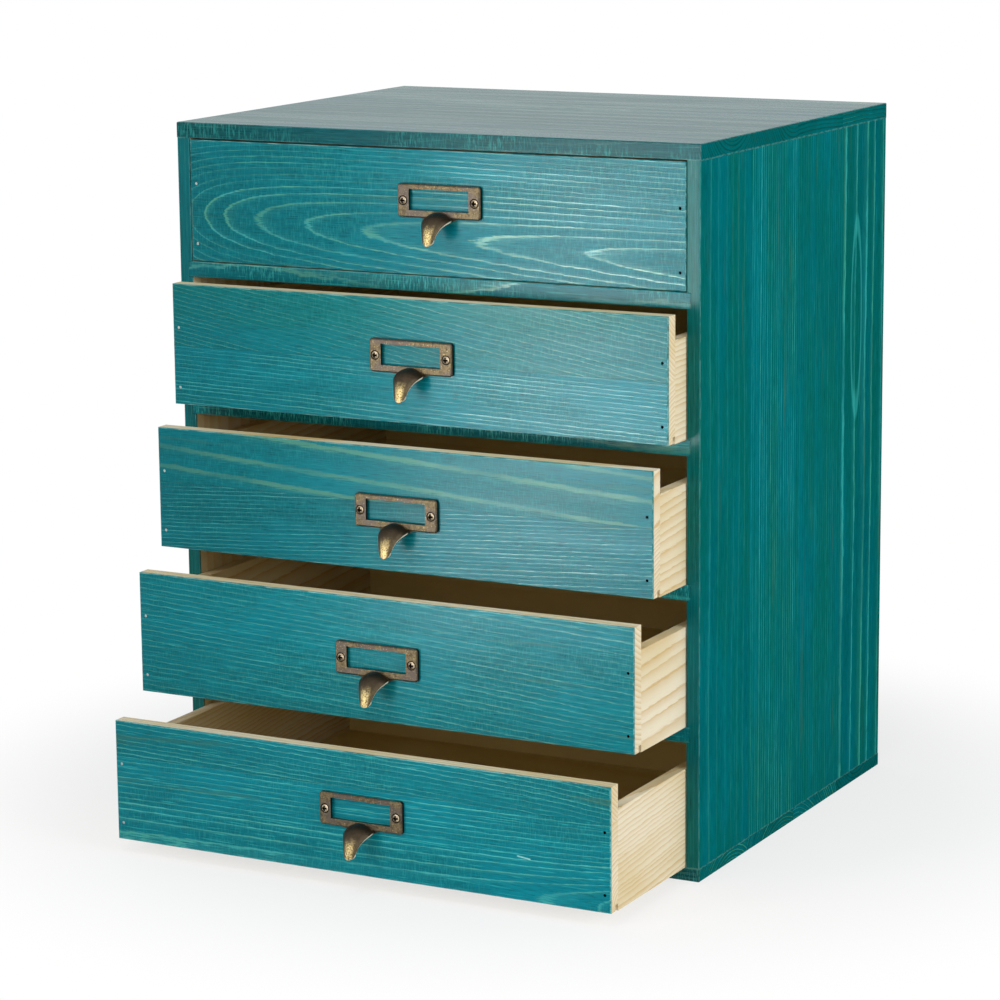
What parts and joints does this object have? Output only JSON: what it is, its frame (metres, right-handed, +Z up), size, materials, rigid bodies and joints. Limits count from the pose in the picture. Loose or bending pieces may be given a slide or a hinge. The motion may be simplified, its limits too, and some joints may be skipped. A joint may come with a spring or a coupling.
{
  "type": "craft stamp drawer cabinet",
  "caption": "Tabletop wooden cabinet of shallow sliding drawers for craft stamps, each with a cast label holder whose hooked tongue is the finger pull.",
  "frame": {"origin": "centre of the carcass's underside, at the surface that the cabinet stands on", "axes": "+Z up, the drawers open towards -Y, +X to the right seen from the front"},
  "size_m": [0.3, 0.3426, 0.3718],
  "materials": {
    "stained_wood": "pine under a thin teal stain, worn pale on the edges, satin",
    "bare_wood": "bare sawn pine, dry and matt; the shelves are stained teal on the front edge only",
    "thin_board": "thin bare plywood, matt",
    "aged_brass": "cast, dark antique patina rubbed bright on the rims and the tongue's tip",
    "screw_metal": "antiqued cross-recess screws, dull",
    "nail_steel": "plain wire nails, slightly tarnished"
  },
  "bodies": {
    "cabinet": {"top_board": "stained_wood", "bottom_board": "stained_wood", "left_side_panel": "stained_wood", "right_side_panel": "stained_wood", "back_panel": "thin_board", "divider_1": "bare_wood", "divider_2": "bare_wood", "divider_3": "bare_wood", "divider_4": "bare_wood"},
    "drawer_1": {"drawer_1_front": "stained_wood", "drawer_1_left_side": "bare_wood", "drawer_1_right_side": "bare_wood", "drawer_1_back": "bare_wood", "drawer_1_bottom": "thin_board", "drawer_1_label_pull": "aged_brass", "drawer_1_pull_screw_left": "screw_metal", "drawer_1_pull_screw_right": "screw_metal", "drawer_1_nails": "nail_steel"},
    "drawer_2": {"drawer_2_front": "stained_wood", "drawer_2_left_side": "bare_wood", "drawer_2_right_side": "bare_wood", "drawer_2_back": "bare_wood", "drawer_2_bottom": "thin_board", "drawer_2_label_pull": "aged_brass", "drawer_2_pull_screw_left": "screw_metal", "drawer_2_pull_screw_right": "screw_metal", "drawer_2_nails": "nail_steel"},
    "drawer_3": {"drawer_3_front": "stained_wood", "drawer_3_left_side": "bare_wood", "drawer_3_right_side": "bare_wood", "drawer_3_back": "bare_wood", "drawer_3_bottom": "thin_board", "drawer_3_label_pull": "aged_brass", "drawer_3_pull_screw_left": "screw_metal", "drawer_3_pull_screw_right": "screw_metal", "drawer_3_nails": "nail_steel"},
    "drawer_4": {"drawer_4_front": "stained_wood", "drawer_4_left_side": "bare_wood", "drawer_4_right_side": "bare_wood", "drawer_4_back": "bare_wood", "drawer_4_bottom": "thin_board", "drawer_4_label_pull": "aged_brass", "drawer_4_pull_screw_left": "screw_metal", "drawer_4_pull_screw_right": "screw_metal", "drawer_4_nails": "nail_steel"},
    "drawer_5": {"drawer_5_front": "stained_wood", "drawer_5_left_side": "bare_wood", "drawer_5_right_side": "bare_wood", "drawer_5_back": "bare_wood", "drawer_5_bottom": "thin_board", "drawer_5_label_pull": "aged_brass", "drawer_5_pull_screw_left": "screw_metal", "drawer_5_pull_screw_right": "screw_metal", "drawer_5_nails": "nail_steel"}
  },
  "joints": [
    {"name": "drawer_1_slide", "type": "slide", "parent": "cabinet", "child": "drawer_1", "axis": [0, -1, 0], "range_m": [0, 0.195]},
    {"name": "drawer_2_slide", "type": "slide", "parent": "cabinet", "child": "drawer_2", "axis": [0, -1, 0], "range_m": [-0.0204, 0.1746]},
    {"name": "drawer_3_slide", "type": "slide", "parent": "cabinet", "child": "drawer_3", "axis": [0, -1, 0], "range_m": [-0.0377, 0.1573]},
    {"name": "drawer_4_slide", "type": "slide", "parent": "cabinet", "child": "drawer_4", "axis": [0, -1, 0], "range_m": [-0.0591, 0.1359]},
    {"name": "drawer_5_slide", "type": "slide", "parent": "cabinet", "child": "drawer_5", "axis": [0, -1, 0], "range_m": [-0.0853, 0.1097]}
  ]
}
